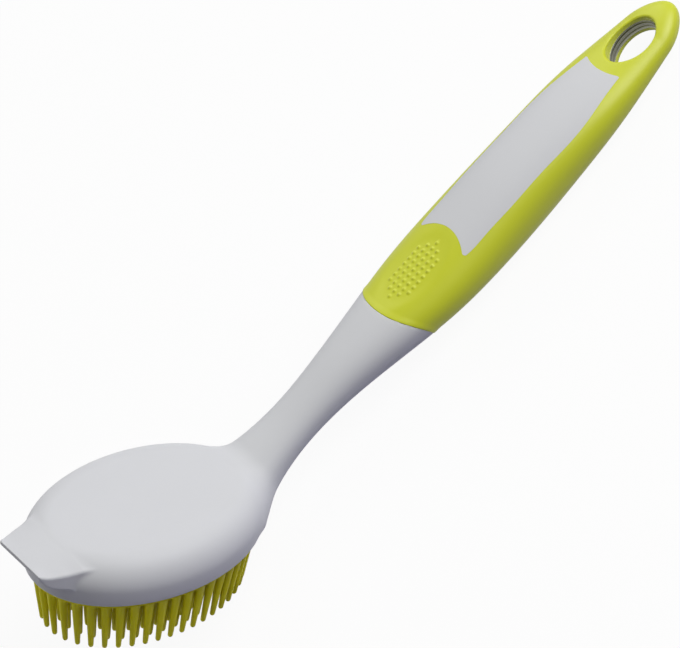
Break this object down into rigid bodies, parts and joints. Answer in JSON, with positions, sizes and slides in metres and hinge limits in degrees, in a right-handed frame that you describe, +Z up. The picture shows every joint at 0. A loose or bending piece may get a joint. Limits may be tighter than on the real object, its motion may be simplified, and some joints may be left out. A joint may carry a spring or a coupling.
{
  "type": "dish wand",
  "caption": "Dish brush with an oval silicone pin pad, a scraper lip, a curved neck and a soft moulded grip ending in a metal-lined hanging loop.",
  "frame": {"origin": "on the resting surface, below the middle of the whole brush's box", "axes": "+X along the handle from the head to the hanging loop, +Y across the brush, +Z up; the brush lies on its heel pins and on the belly of its grip"},
  "size_m": [0.271, 0.0578, 0.0752],
  "materials": {
    "core_plastic": "satin",
    "soft_grip": "matte",
    "silicone": "satin",
    "carrier_plastic": "satin",
    "ring_metal": "polished"
  },
  "bodies": {
    "root": {"head_handle_core": "core_plastic", "soft_grip": "soft_grip", "bristle_pad": "silicone", "bristle_carrier": "carrier_plastic", "hanging_ring": "ring_metal"}
  },
  "joints": []
}
